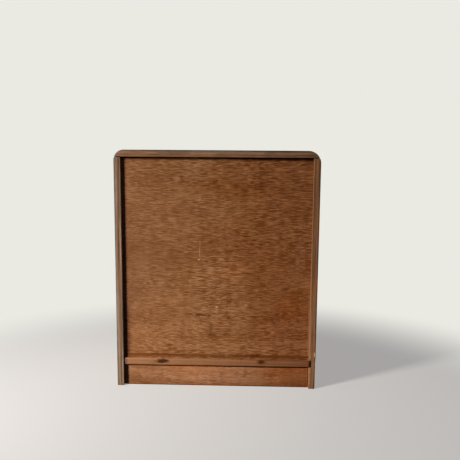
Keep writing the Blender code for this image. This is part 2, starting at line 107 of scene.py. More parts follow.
class Graph:
    """A shader tree that is being made, with its nodes set out in columns in the order they come."""

    COLUMN = 200
    ROW = 170
    ROWS = 8

    def __init__(self, tree: Tree) -> None:
        """Start on an empty tree.

        Args:
            tree: The tree of a material, a world or a node group.
        """
        self.tree = tree
        tree.nodes.clear()

    def node(self, kind: str, sources: dict[str | int, Source] | None = None, **settings) -> bpy.types.Node:
        """Add a node.

        Args:
            kind: The node's type name.
            sources: What each input takes, by the input's name or number.
            settings: The node's own settings.

        Returns:
            The new node.
        """
        count = len(self.tree.nodes)
        node = self.tree.nodes.new(kind)
        node.location = (self.COLUMN * (count // self.ROWS), -self.ROW * (count % self.ROWS))
        for name, value in settings.items():
            setattr(node, name, value)
        for name, source in (sources or {}).items():
            self.feed(node.inputs[name], source)
        return node

    def feed(self, socket: Socket, source: Source) -> None:
        """Link an input to another node's output, or set its value.

        Args:
            socket: The input.
            source: An output, a number, or the numbers of a vector or a colour.
        """
        if isinstance(source, Socket):
            self.tree.links.new(source, socket)
        elif socket.type == "RGBA":
            socket.default_value = (*source, 1)
        else:
            socket.default_value = source

    def maths(self, operation: str, *sources: Source) -> Socket:
        """Work out one number from others, with Blender's Math node."""
        return self.node("ShaderNodeMath", dict(enumerate(sources)), operation=operation).outputs[0]

    def vector(self, operation: str, *sources: Source) -> Socket:
        """Work out one vector from others, with Blender's Vector Math node."""
        node = self.node("ShaderNodeVectorMath", dict(enumerate(sources)), operation=operation)
        return node.outputs["Value" if operation == "LENGTH" else "Vector"]

    def scaled(self, vector: Source, factor: float) -> Socket:
        """Multiply each of a vector's three numbers by the same factor."""
        return self.vector("MULTIPLY", vector, (factor, factor, factor))

    def swung(self, middle: Source, value: Source, amount: Source) -> Socket:
        """Move a number up or down by up to half the amount, as a value from 0 to 1 says."""
        return self.maths("MULTIPLY_ADD", self.maths("SUBTRACT", value, 0.5), amount, middle)

    def combined(self, x: Source, y: Source, z: Source) -> Socket:
        """Join three numbers into a vector."""
        return self.node("ShaderNodeCombineXYZ", {"X": x, "Y": y, "Z": z}).outputs[0]

    def split(self, vector: Source) -> dict[str, Socket]:
        """The three numbers of a vector, by the names X, Y and Z."""
        node = self.node("ShaderNodeSeparateXYZ", {0: vector})
        return {axis: node.outputs[axis] for axis in "XYZ"}

    def noise(self, vector: Source, detail: float = 2, roughness: float = 0.5) -> Socket:
        """Noise from 0 to 1 whose bumps are about one unit of the vector across."""
        sources = {"Vector": vector, "Scale": 1, "Detail": detail, "Roughness": roughness}
        return self.node("ShaderNodeTexNoise", sources).outputs[0]

    def drift(self, vector: Source) -> Socket:
        """A vector from -0.5 to 0.5 that drifts slowly from place to place."""
        sources = {"Vector": vector, "Scale": 1, "Detail": 1}
        colour = self.node("ShaderNodeTexNoise", sources).outputs[1]
        return self.vector("SUBTRACT", colour, (0.5, 0.5, 0.5))

    def spread(
        self, value: Source, low: Source, high: Source, to_low: float = 0, to_high: float = 1
    ) -> Socket:
        """Stretch the range from low to high smoothly over another range, and hold its ends.

        Args:
            value: The number to stretch.
            low: The value that becomes to_low.
            high: The value that becomes to_high.
            to_low: The lower end of the result.
            to_high: The upper end of the result.

        Returns:
            The output that holds the result.
        """
        sources = {"Value": value, "From Min": low, "From Max": high, "To Min": to_low, "To Max": to_high}
        return self.node("ShaderNodeMapRange", sources, interpolation_type="SMOOTHSTEP").outputs[0]

    def blend(self, share: Source, base: Source, over: Source, kind: str = "MIX") -> Socket:
        """Mix two colours: the base where the share is 0, the other, or both multiplied, where it is 1."""
        sources = {0: share, 6: base, 7: over}
        return self.node("ShaderNodeMix", sources, data_type="RGBA", blend_type=kind).outputs[2]

    def group(self, tree: Tree, **sources: Source) -> Socket:
        """Place a node group, whose inputs take the sources, and give its first output."""
        node = self.node("ShaderNodeGroup", node_tree=tree)
        for name, source in sources.items():
            self.feed(node.inputs[name.replace("_", " ").title()], source)
        return node.outputs[0]


class EffectGraph(Graph):
    """A node group that is being made, with named inputs and one named output."""

    VECTORS = ("Vector", "Centre", "Half Size", "Reach")

    def __init__(self, title: str, output: str, *inputs: str) -> None:
        """Start a node group.

        Args:
            title: The group's name.
            output: The name of what it puts out.
            inputs: The names of what it takes. Those in VECTORS are vectors, the others numbers.
        """
        super().__init__(bpy.data.node_groups.new(title, "ShaderNodeTree"))
        for name in inputs:
            kind = "NodeSocketVector" if name in self.VECTORS else "NodeSocketFloat"
            self.tree.interface.new_socket(name=name, in_out="INPUT", socket_type=kind)
        self.tree.interface.new_socket(name=output, in_out="OUTPUT", socket_type="NodeSocketFloat")
        self.given = self.node("NodeGroupInput").outputs[: len(inputs)]

    def finished(self, result: Socket) -> Tree:
        """Link the result to the group's output and give the group."""
        self.node("NodeGroupOutput", {0: result})
        return self.tree


class Effects:
    """The effects that several woods share, each a node group that is made when it is first used.

    Each takes a vector in metres whose first number runs along the grain, but for the last three,
    which take the plain place on the chest. The constants say how many bumps per metre the noise
    has that makes an effect uneven.
    """

    RING_BUMPS = (3.2, 15, 15)
    WEAR_BUMPS = 140
    EDGE_BUMPS = 90

    @cached_property
    def rings(self) -> Tree:
        """Growth rings round the grain: 0 in the pale early wood, 1 in the dark late wood."""
        graph = EffectGraph("Growth Rings", "Ring", "Vector", "Spacing", "Wander")
        place, spacing, wander = graph.given
        drift = graph.drift(graph.vector("MULTIPLY", place, self.RING_BUMPS))
        strayed = graph.node("ShaderNodeVectorMath", {0: drift, "Scale": wander}, operation="SCALE")
        moved = graph.vector("ADD", place, strayed.outputs[0])
        distance = graph.vector("LENGTH", graph.vector("MULTIPLY", moved, (0, 1, 1)))
        turns = graph.maths("DIVIDE", distance, spacing)
        wave = graph.maths("SINE", graph.maths("MULTIPLY", turns, math.tau))
        ring = graph.spread(wave, -0.9, 1.0)
        return graph.finished(graph.maths("POWER", ring, 1.5))

    @cached_property
    def fibre(self) -> Tree:
        """Streaks along the grain, from 0 to 1: short ones, with a share of ones four times as long."""
        graph = EffectGraph("Wood Fibre", "Fibre", "Vector", "Length", "Width", "Broad")
        place, length, width, broad_share = graph.given
        cells = graph.vector("DIVIDE", place, graph.combined(length, width, width))
        fine = graph.spread(graph.noise(cells, 2, 0.6), 0.3, 0.7)
        broader = graph.vector("MULTIPLY", cells, (0.25, 0.6, 0.6))
        broad = graph.spread(graph.noise(broader, 1), 0.32, 0.68)
        change = graph.maths("MULTIPLY", graph.maths("SUBTRACT", broad, fine), broad_share)
        return graph.finished(graph.maths("ADD", fine, change))

    @cached_property
    def pores(self) -> Tree:
        """Short open pores along the grain: 1 in a pore. Cut is the height above which noise is one."""
        graph = EffectGraph("Open Pores", "Pore", "Vector", "Length", "Width", "Cut")
        place, length, width, cut = graph.given
        cells = graph.noise(graph.vector("DIVIDE", place, graph.combined(length, width, width)), 0)
        full = graph.maths("ADD", cut, 0.09)
        return graph.finished(graph.spread(cells, cut, full))

    @cached_property
    def ripple(self) -> Tree:
        """Soft bands that run square to the grain, as on sliced veneer, from 0 to 1."""
        graph = EffectGraph("Veneer Ripple", "Ripple", "Vector", "Spacing")
        place, spacing = graph.given
        length = graph.maths("MULTIPLY", spacing, 4)
        cells = graph.vector("DIVIDE", place, graph.combined(spacing, length, length))
        return graph.finished(graph.noise(cells, 1))

    @cached_property
    def patches(self) -> Tree:
        """Soft patches, about twice as long as wide, where colour or dust gathers: 0 to 1."""
        graph = EffectGraph("Soft Patches", "Patch", "Vector", "Size")
        place, size = graph.given
        length = graph.maths("MULTIPLY", size, 2)
        cloud = graph.noise(graph.vector("DIVIDE", place, graph.combined(length, size, size)), 2)
        return graph.finished(graph.spread(cloud, 0.36, 0.64))

    @cached_property
    def wear(self) -> Tree:
        """Rubbed edges of a board: 1 on an arris, 0 past the width of the wear."""
        graph = EffectGraph("Worn Edges", "Worn", "Vector", "Centre", "Half Size", "Width")
        place, centre, half_size, width = graph.given
        away = graph.vector("ABSOLUTE", graph.vector("SUBTRACT", place, centre))
        inside = graph.vector("MAXIMUM", graph.vector("SUBTRACT", half_size, away), (0, 0, 0))
        x, y, z = graph.split(inside).values()
        total = graph.maths("ADD", graph.maths("ADD", x, y), z)
        widest = graph.maths("MAXIMUM", graph.maths("MAXIMUM", x, y), z)
        nearest = graph.maths("DIVIDE", graph.maths("SUBTRACT", total, widest), width)
        uneven = graph.noise(graph.scaled(place, self.WEAR_BUMPS), 3, 0.65)
        return graph.finished(graph.spread(graph.swung(nearest, uneven, 1.6), 0.1, 1.0, 1, 0))

    @cached_property
    def mark(self) -> Tree:
        """One mark, such as a knot or a stain: 1 at its centre, 0 past its reach."""
        graph = EffectGraph("Local Mark", "Mark", "Vector", "Centre", "Reach", "Ragged")
        place, centre, reach, ragged = graph.given
        shares = graph.vector("DIVIDE", graph.vector("SUBTRACT", place, centre), reach)
        uneven = graph.noise(graph.vector("ADD", graph.scaled(shares, 2.2), centre))
        far = graph.swung(graph.vector("LENGTH", shares), uneven, ragged)
        return graph.finished(graph.spread(far, 0.35, 1.0, 1, 0))

    @cached_property
    def straight_mark(self) -> Tree:
        """One mark with straight sides, such as a seam: 1 in its middle, 0 past its reach."""
        graph = EffectGraph("Straight Mark", "Mark", "Vector", "Centre", "Reach", "Ragged")
        place, centre, reach, ragged = graph.given
        shares = graph.vector("DIVIDE", graph.vector("SUBTRACT", place, centre), reach)
        x, y, z = graph.split(graph.vector("ABSOLUTE", shares)).values()
        farthest = graph.maths("MAXIMUM", graph.maths("MAXIMUM", x, y), z)
        uneven = graph.noise(graph.scaled(place, self.EDGE_BUMPS), 3)
        return graph.finished(graph.spread(graph.swung(farthest, uneven, ragged), 0.5, 1.0, 1, 0))


EFFECTS = Effects()


# Woods


class Grain(Enum):
    """The way a board's grain runs, as the order in which its axes are read, the grain's own first."""

    WIDTH = "XYZ"
    DEPTH = "YXZ"
    HEIGHT = "ZXY"


@dataclass(frozen=True)
class Mark:
    """A knot, stain, rub, scratch, painted shadow or painted highlight at one place on the rear face of a
    board.

    Attributes:
        x: The middle of the mark, along X.
        z: The height of its middle.
        reach: How far it goes along X, Y and Z.
        colour: What it turns the wood to.
        share: How fully it does so, from 0 to 1.
        ragged: How uneven its outline is.
        straight: Whether it has straight sides, as a seam, the dirt along an edge and a painted shadow
            under an edge have.
    """

    blend: ClassVar = "MIX"

    x: float
    z: float
    reach: Place
    colour: Colour
    share: float
    ragged: float
    straight: bool = False


class Tone(Mark):
    """A mark that the grain shows through, since its colour multiplies the wood's."""

    blend: ClassVar = "MULTIPLY"


@dataclass(frozen=True)
class WoodFinish:
    """How one kind of wood looks. Colours are linear, lengths in metres, shares from 0 to 1.

    Attributes:
        title: The finish's name, which each board's material starts with.
        light: The wood's paler colour.
        dark: Its darker colour, in late wood and streaks.
        tint: What soft patches turn it towards.
        shade: What other soft patches turn it towards.
        pore: The colour of open pores.
        worn: The colour of rubbed edges.
        tone_middle: The share of the paler colour that the wood has on the whole.
        ring_spacing, ring_share: How far apart the growth rings are and how strongly they show.
        wander: How far the rings stray from circles.
        fibre_length, fibre_width, fibre_share: The size of the streaks and how strongly they show.
        broad_share: The share of streaks that are four times as long.
        ripple_spacing, ripple_share: The width of the bands over the grain and their strength.
        slope: How far the grain strays from a straight line.
        pore_length, pore_width, pore_share: The size of open pores and how strongly they show.
        pore_cut: How rare the pores are.
        patch_size: The width of the soft patches.
        tint_share, shade_share: How strongly the patches turn towards the tint and the shade.
        cloud_share: How much soft patches make the wood lighter or darker.
        worn_width, worn_share: The width of the rubbed edges and how strongly they show.
        roughness: How matt the surface is.
        specular: The strength of the plain reflection.
        coat: The strength of a coat of varnish.
        relief: The depth of the grain.
    """

    # Bumps per metre where the grain strays.
    SLOPE_BUMPS: ClassVar = 9
    # Where the patches of shade are read, and how much wider they are than those of tint.
    ELSEWHERE: ClassVar = (1.3, 0.7, 2.1)
    WIDER: ClassVar = 1.6
    # How far the fibre moves the roughness, and how deep a pore is beside the fibre's height of 1.
    ROUGHNESS_SWING: ClassVar = 0.08
    PORE_DEPTH: ClassVar = 0.8
    BUMP_STRENGTH: ClassVar = 0.6
    COAT_ROUGHNESS: ClassVar = 0.25

    title: str
    light: Colour
    dark: Colour
    tint: Colour
    shade: Colour
    pore: Colour
    worn: Colour
    tone_middle: float = 0.5
    ring_spacing: float = 0.0045
    ring_share: float = 0.3
    wander: float = 0.012
    fibre_length: float = 0.03
    fibre_width: float = 0.0009
    fibre_share: float = 0.35
    broad_share: float = 0.35
    ripple_spacing: float = 0.02
    ripple_share: float = 0
    slope: float = 0
    pore_length: float = 0.004
    pore_width: float = 0.0006
    pore_cut: float = 0.6
    pore_share: float = 0.3
    patch_size: float = 0.03
    tint_share: float = 0.3
    shade_share: float = 0.3
    cloud_share: float = 0
    worn_width: float = 0.002
    worn_share: float = 0.4
    roughness: float = 0.65
    specular: float = 0.3
    coat: float = 0
    relief: float = 0.0002

    def material(self, name: str, grain: Grain, pith: Place, marks: Sequence[Mark]) -> bpy.types.Material:
        """Make this finish for one board.

        Args:
            name: The CAD node that the board is, which gives the edges that wear and the rear face.
            grain: The way the grain runs.
            pith: The line that the rings run round, as a place on it.
            marks: What the board has at single places.

        Returns:
            The new material.
        """
        material = bpy.data.materials.new(f"{self.title}_{name}")
        material.use_nodes = True
        graph = Graph(material.node_tree)
        place = graph.node("ShaderNodeTexCoord").outputs["Object"]
        along = self.grain_vector(graph, place, grain, pith)
        fibre = graph.group(EFFECTS.fibre, vector=along, length=self.fibre_length, width=self.fibre_width,
                            broad=self.broad_share)
        pores = graph.group(EFFECTS.pores, vector=along, length=self.pore_length, width=self.pore_width,
                            cut=self.pore_cut)
        colour = self.base_colour(graph, along, fibre, pores)
        low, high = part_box(name)
        middle, half = (low + high) / 2, (high - low) / 2
        worn = graph.group(EFFECTS.wear, vector=place, centre=middle, half_size=half, width=self.worn_width)
        colour = graph.blend(graph.maths("MULTIPLY", worn, self.worn_share), colour, self.worn)
        for mark in marks:
            shape = EFFECTS.straight_mark if mark.straight else EFFECTS.mark
            centre = (mark.x, high.y, mark.z)
            mask = graph.group(shape, vector=place, centre=centre, reach=mark.reach, ragged=mark.ragged)
            share = graph.maths("MULTIPLY", mask, mark.share)
            colour = graph.blend(share, colour, mark.colour, mark.blend)
        roughest, smoothest = self.roughness + self.ROUGHNESS_SWING, self.roughness - self.ROUGHNESS_SWING
        rough = graph.spread(fibre, 0, 1, min(roughest, 1), smoothest)
        height = graph.maths("SUBTRACT", fibre, graph.maths("MULTIPLY", pores, self.PORE_DEPTH))
        sources = {"Height": height, "Distance": self.relief, "Strength": self.BUMP_STRENGTH}
        bump = graph.node("ShaderNodeBump", sources).outputs[0]
        sources = {"Base Color": colour, "Roughness": rough, "Specular IOR Level": self.specular,
                   "Coat Weight": self.coat, "Coat Roughness": self.COAT_ROUGHNESS, "Normal": bump}
        shader = graph.node("ShaderNodeBsdfPrincipled", sources)
        graph.node("ShaderNodeOutputMaterial", {"Surface": shader.outputs[0]})
        return material

    def grain_vector(self, graph: Graph, place: Source, grain: Grain, pith: Place) -> Socket:
        """Turn a place on the chest into one measured along and across the grain from the pith.

        Args:
            graph: The material's tree.
            place: The place on the chest.
            grain: The way the grain runs.
            pith: A place on the line that the rings run round.

        Returns:
            The output that holds the vector.
        """
        parts = graph.split(graph.vector("SUBTRACT", place, pith))
        along = graph.combined(*(parts[axis] for axis in grain.value))
        if not self.slope:
            return along
        drift = graph.drift(graph.scaled(along, self.SLOPE_BUMPS))
        return graph.vector("ADD", along, graph.vector("MULTIPLY", drift, (0, self.slope, self.slope)))

    def base_colour(self, graph: Graph, along: Source, fibre: Source, pores: Source) -> Socket:
        """The wood's colour before wear and marks.

        Args:
            graph: The material's tree.
            along: The place along and across the grain.
            fibre: The fibre effect's output.
            pores: The pore effect's output.

        Returns:
            The output that holds the colour.
        """
        rings = graph.group(EFFECTS.rings, vector=along, spacing=self.ring_spacing, wander=self.wander)
        tone = graph.maths("MULTIPLY_ADD", rings, -self.ring_share, self.tone_middle + self.ring_share / 2)
        tone = graph.swung(tone, fibre, self.fibre_share)
        if self.ripple_share:
            ripple = graph.group(EFFECTS.ripple, vector=along, spacing=self.ripple_spacing)
            tone = graph.swung(tone, ripple, self.ripple_share)
        patch = graph.group(EFFECTS.patches, vector=along, size=self.patch_size)
        if self.cloud_share:
            tone = graph.swung(tone, patch, self.cloud_share)
        colour = graph.blend(tone, self.dark, self.light)
        colour = graph.blend(graph.maths("MULTIPLY", patch, self.tint_share), colour, self.tint)
        elsewhere = graph.vector("ADD", along, self.ELSEWHERE)
        other = graph.group(EFFECTS.patches, vector=elsewhere, size=self.patch_size * self.WIDER)
        colour = graph.blend(graph.maths("MULTIPLY", other, self.shade_share), colour, self.shade)
        return graph.blend(graph.maths("MULTIPLY", pores, self.pore_share), colour, self.pore)


LAUAN = WoodFinish(
    "lauan",
    light=linear(173, 126, 86), dark=linear(104, 54, 13),
    tint=linear(149, 101, 68), shade=linear(117, 71, 35),
    pore=linear(80, 38, 8), worn=linear(112, 72, 40),
    tone_middle=0.4,
    ring_spacing=0.021, ring_share=0.12, wander=0.02,
    fibre_length=0.013, fibre_width=0.0008, fibre_share=1.22, broad_share=0.05,
    ripple_spacing=0.0105, ripple_share=0.55, slope=0.012,
    pore_length=0.016, pore_width=0.0009, pore_cut=0.6, pore_share=0.55,
    patch_size=0.028, tint_share=0.2, shade_share=0.24, cloud_share=0.12,
    worn_share=0.2,
    roughness=0.68, specular=0.06,
)

PLINTH = WoodFinish(
    "plinth",
    light=linear(176, 128, 94), dark=linear(112, 63, 30),
    tint=linear(156, 104, 69), shade=linear(130, 82, 48),
    pore=linear(92, 50, 24), worn=linear(104, 64, 34),
    ring_spacing=0.016, ring_share=0.2, wander=0.016,
    fibre_length=0.009, fibre_width=0.0018, fibre_share=0.9,
    ripple_spacing=0.009, ripple_share=0.5, slope=0.014,
    pore_share=0.25,
    patch_size=0.02, tint_share=0.5,
    worn_share=0.5,
    roughness=0.66, specular=0.06,
)

CASE_BOARD = WoodFinish(
    "case_board",
    light=linear(147, 115, 90), dark=linear(86, 61, 42),
    tint=linear(127, 94, 73), shade=linear(102, 81, 59),
    pore=linear(60, 40, 24), worn=linear(142, 120, 98),
    ring_spacing=0.0058, ring_share=0.45, wander=0.015,
    fibre_length=0.05, fibre_width=0.0022, fibre_share=0.6,
    pore_length=0.012, pore_cut=0.64,
    patch_size=0.02, tint_share=0.35,
    worn_width=0.0022, worn_share=0.45,
    roughness=0.7, specular=0.14, relief=0.0003,
)

# The left side board's wood: redder and more saturated than CASE_BOARD, partly painted shade, as that board
# faces away from the lamp.
REDDER_SHADED_BOARD = replace(
    CASE_BOARD,
    title="redder_shaded_board",
    light=linear(148, 105, 70), dark=linear(88, 54, 28),
    tint=linear(134, 88, 56), shade=linear(108, 74, 43),
    worn=linear(138, 103, 72),
)

TOP_BOARD = replace(
    CASE_BOARD,
    title="top_board",
    light=linear(161, 119, 88), dark=linear(82, 54, 34),
    tint=linear(134, 92, 66), shade=linear(100, 74, 50),
    worn=linear(130, 98, 72),
    fibre_length=0.02,
    patch_size=0.014, tint_share=0.5, shade_share=0.5,
)

BOTTOM_BOARD = WoodFinish(
    "bottom_board",
    light=linear(160, 113, 79), dark=linear(110, 71, 44),
    tint=linear(142, 91, 60), shade=linear(120, 82, 53),
    pore=linear(84, 50, 28), worn=linear(160, 114, 80),
    ring_spacing=0.0042, ring_share=0.22, wander=0.006,
    fibre_width=0.002, fibre_share=0.4,
    pore_share=0.15,
    worn_share=0.25,
    roughness=0.7, specular=0.08,
)

FRAME_WOOD = WoodFinish(
    "frame_wood",
    light=linear(178, 142, 104), dark=linear(140, 102, 68),
    tint=linear(160, 118, 80), shade=linear(150, 120, 86),
    pore=linear(104, 72, 46), worn=linear(146, 112, 80),
    ring_spacing=0.005,
    fibre_length=0.04,
    pore_share=0.15,
    roughness=0.74, specular=0.2,
)

DRAWER_FRONT = WoodFinish(
    "drawer_front",
    light=linear(150, 98, 62), dark=linear(96, 54, 30),
    tint=linear(130, 72, 42), shade=linear(104, 64, 36),
    pore=linear(58, 30, 16), worn=linear(168, 122, 84),
    ring_spacing=0.006, ring_share=0.4, wander=0.016,
    fibre_width=0.001, fibre_share=0.5,
    ripple_share=0.2,
    pore_length=0.006, pore_cut=0.58, pore_share=0.4,
    worn_share=0.5,
    roughness=0.5, specular=0.4, coat=0.15,
)

DRAWER_WOOD = WoodFinish(
    "drawer_wood",
    light=linear(200, 168, 128), dark=linear(164, 126, 86),
    tint=linear(186, 148, 108), shade=linear(172, 142, 104),
    pore=linear(126, 92, 60), worn=linear(152, 122, 90),
    ring_spacing=0.0048, ring_share=0.4,
    fibre_length=0.05,
    pore_share=0.12,
    worn_share=0.35,
    roughness=0.72, specular=0.2,
)

TURNED_WOOD = WoodFinish(
    "turned_wood",
    light=linear(104, 62, 38), dark=linear(62, 34, 20),
    tint=linear(86, 44, 26), shade=linear(70, 42, 26),
    pore=linear(36, 20, 12), worn=linear(122, 80, 52),
    ring_spacing=0.0032, ring_share=0.4, wander=0.002,
    fibre_length=0.02, fibre_width=0.0007, fibre_share=0.5,
    worn_share=0,
    roughness=0.38, specular=0.5, coat=0.3,
)


@dataclass
class Board:
    """One CAD piece and how it is dressed.

    Attributes:
        node: The CAD node's name.
        finish: The wood that it is made of.
        grain: The way its grain runs.
        pith: A place on the line that its rings run round.
        marks: What its rear face has at single places, the first under the others.
    """

    node: str
    finish: WoodFinish
    grain: Grain
    pith: Place
    marks: Sequence[Mark] = ()

    def dress(self) -> None:
        """Give the CAD piece its material and its smooth rounded edges."""
        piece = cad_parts[self.node]
        material = self.finish.material(self.node, self.grain, self.pith, self.marks)
        if not piece.material_slots:
            piece.data.materials.append(material)
        for slot in piece.material_slots:
            slot.link = "OBJECT"
            slot.material = material
        rounding = piece.modifiers.new("rounding", "NODES")
        rounding.node_group = smooth_arrises()
        log.info("dressed %s in %s, grain %s", self.node, self.finish.title, self.grain.name.lower())


def smooth_arrises(weld: float = 0.00001, shallow: float = 50) -> Tree:
    """The modifier that shades shallow edges smooth and leaves the others sharp, made once.

    Args:
        weld: How near corners lie that are joined.
        shallow: The angle in degrees below which an edge is shaded smooth.

    Returns:
        A geometry node group.
    """
    title = "Smooth Arrises"
    if title in bpy.data.node_groups:
        return bpy.data.node_groups[title]
    tree = bpy.data.node_groups.new(title, "GeometryNodeTree")
    for direction in ("INPUT", "OUTPUT"):
        tree.interface.new_socket(name="Geometry", in_out=direction, socket_type="NodeSocketGeometry")
    graph = Graph(tree)
    given = graph.node("NodeGroupInput").outputs[0]
    joined = graph.node("GeometryNodeMergeByDistance", {"Geometry": given, "Distance": weld}).outputs[0]
    angle = graph.node("GeometryNodeInputMeshEdgeAngle").outputs[0]
    angles = {0: angle, 1: math.radians(shallow)}
    rounded = graph.node("FunctionNodeCompare", angles, operation="LESS_THAN").outputs[0]
    for domain, smooth in (("FACE", True), ("EDGE", rounded)):
        sources = {"Geometry": joined, "Shade Smooth": smooth}
        joined = graph.node("GeometryNodeSetShadeSmooth", sources, domain=domain).outputs[0]
    graph.node("NodeGroupOutput", {0: joined})
    return tree


# The case


@dataclass
class Case:
    """The boards that stand still: the case, its back, its plinth and the frame between the drawers."""

    # X, Z, half length, half height, colour and raggedness of each broad tone on the plywood back.
    PANEL_TONES: ClassVar = (
        (-0.120, 0.085, 0.100, 0.080, (0.92, 0.84, 0.84), 0.4),
        (0.000, 0.350, 0.080, 0.100, (1.08, 1.10, 1.12), 0.4),
        (0.140, 0.200, 0.030, 0.160, (0.90, 0.88, 0.92), 0.4),
        (-0.045, 0.288, 0.085, 0.030, (1.12, 1.19, 1.24), 0.5),
        (-0.020, 0.330, 0.100, 0.022, (0.90, 0.83, 0.70), 0.5),
        (0.056, 0.202, 0.045, 0.026, (0.89, 0.82, 0.72), 0.5),
        (-0.014, 0.200, 0.050, 0.024, (1.12, 1.14, 1.16), 0.5),
        (-0.016, 0.122, 0.055, 0.024, (1.10, 1.13, 1.20), 0.5),
        (-0.121, 0.136, 0.036, 0.034, (0.96, 0.84, 0.66), 0.5),
        (-0.138, 0.242, 0.018, 0.075, (1.10, 1.17, 1.34), 0.4),
        (-0.070, 0.255, 0.028, 0.018, (1.12, 1.24, 1.34), 0.5),
        # The last, widest tone is painted shade: it darkens and reddens the half of the back by the left
        # side board, away from the lamp.
        (-0.170, 0.280, 0.240, 0.360, (0.87, 0.73, 0.60), 0.4),
    )

    # X, Z, half length, half height and share of each dark dash on the plywood back.
    PANEL_DASHES: ClassVar = (
        (0.0285, 0.1231, 0.0098, 0.0028, 0.88),
        (0.0208, 0.1222, 0.0070, 0.0025, 0.82),
        (0.0420, 0.1238, 0.0060, 0.0022, 0.65),
        (0.0115, 0.1216, 0.0050, 0.0025, 0.85),
        (0.0040, 0.1254, 0.0048, 0.0020, 0.66),
        (-0.0054, 0.1302, 0.0046, 0.0020, 0.66),
        (-0.0118, 0.1202, 0.0045, 0.0018, 0.60),
        (-0.0201, 0.1184, 0.0052, 0.0036, 0.80),
        (0.0262, 0.1106, 0.0018, 0.0045, 0.50),
        (0.0180, 0.1150, 0.0040, 0.0014, 0.50),
        (0.0474, 0.1611, 0.0070, 0.0018, 0.60),
        (0.0296, 0.1639, 0.0040, 0.0016, 0.50),
        (0.0075, 0.0892, 0.0085, 0.0050, 0.60),
        (0.0033, 0.0868, 0.0060, 0.0022, 0.55),
        (0.0085, 0.1010, 0.0060, 0.0120, 0.60),
        (-0.0471, 0.3680, 0.0090, 0.0020, 0.70),
        (-0.1354, 0.3352, 0.0055, 0.0018, 0.80),
        (0.1185, 0.1154, 0.0028, 0.0020, 0.70),
        (-0.0200, 0.2990, 0.0120, 0.0013, 0.60),
        (-0.0520, 0.2985, 0.0100, 0.0013, 0.60),
    )

    knot: Colour = linear(56, 28, 6)
    knot_rim: Colour = linear(106, 62, 30)
    stain: Colour = linear(93, 49, 13)
    redder_knot: Colour = linear(78, 32, 2)
    smudge: Colour = linear(86, 44, 10)
    seam: Colour = linear(38, 18, 6)
    streak: Colour = linear(74, 48, 32)

    def panel_marks(self) -> list[Mark]:
        """The plywood back's tones, the painted shadows under the top board and beside the right side
        board, the scratch, the stains and painted crevice shade along its foot, and the dark dashes.
        """
        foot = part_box("bottom_board")[1].z
        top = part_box("top_board")[0].z
        scratch, dot = linear(172, 126, 88), linear(206, 160, 116)
        tones = [
            Tone(x, z, (length, 0.01, height), colour, 1, ragged)
            for x, z, length, height, colour, ragged in self.PANEL_TONES
        ]
        marks = [
            Tone(0.12, 0.2, (0.08, 0.01, 0.1), (0.8, 0.82, 0.84), 0.8, 0.6),
            Mark(0.14, 0.2, (0.14, 0.01, 0.3), linear(134, 88, 54), 0.32, 0.4),
            # Painted half-shadow from the right side board: these darken the back along its edge beside
            # that board.
            Tone(0.154, 0.2, (0.011, 0.01, 0.3), (0.74, 0.62, 0.56), 1, 0.1, straight=True),
            Tone(0.154, 0.05, (0.015, 0.01, 0.12), (0.66, 0.6, 0.6), 1, 0.1, straight=True),
            Mark(-0.154, 0.06, (0.003, 0.01, 0.12), linear(146, 100, 68), 0.7, 0.3, straight=True),
            Mark(0.0268, 0.24, (0.0011, 0.002, 0.009), scratch, 0.5, 0.8),
            Mark(0.0276, 0.2275, (0.0011, 0.002, 0.012), scratch, 0.65, 0.8),
            Mark(0.0288, 0.2155, (0.0026, 0.002, 0.0015), dot, 0.8, 0.2),
            Mark(0.1251, 0.1983, (0.016, 0.002, 0.036), linear(160, 112, 78), 0.2, 1.2),
            Mark(0.0641, 0.345, (0.008, 0.002, 0.007), linear(176, 130, 96), 0.3, 1),
            Mark(-0.0008, 0.137, (0.0032, 0.002, 0.0018), dot, 0.5, 0.4),
            Mark(-0.0488, 0.1402, (0.004, 0.002, 0.0014), dot, 0.4, 0.4),
            Mark(0.07, foot + 0.0046, (0.13, 0.01, 0.0044), self.stain, 0.62, 0.3, straight=True),
            Mark(-0.1, foot + 0.0056, (0.1, 0.01, 0.003), self.stain, 0.9, 0.3, straight=True),
            # Painted shade in the crevice where the back meets the bottom board.
            Tone(-0.1, foot + 0.0012, (0.12, 0.01, 0.004), (0.78, 0.73, 0.7), 1, 0.2, straight=True),
            Tone(0.09, foot + 0.0062, (0.08, 0.01, 0.0018), (0.84, 0.74, 0.62), 1, 0.3, straight=True),
            Mark(-0.0621, foot + 0.0056, (0.007, 0.01, 0.004), self.redder_knot, 0.75, 0.6),
            Mark(-0.0694, foot + 0.0066, (0.0046, 0.01, 0.005), self.redder_knot, 0.75, 0.5),
            # Painted shadow under the top board: these darken the top edge of the back, deeper towards the
            # left side board.
            Tone(0, top, (0.4, 0.01, 0.0062), (0.42, 0.3, 0.18), 1, 0.5, straight=True),
            Tone(-0.14, top, (0.12, 0.01, 0.0072), (0.55, 0.42, 0.3), 1, 0.2, straight=True),
        ]
        dashes = [
            Mark(x, z, (length, 0.002, height), self.smudge, share, 0.5)
            for x, z, length, height, share in self.PANEL_DASHES
        ]
        return tones + marks + dashes

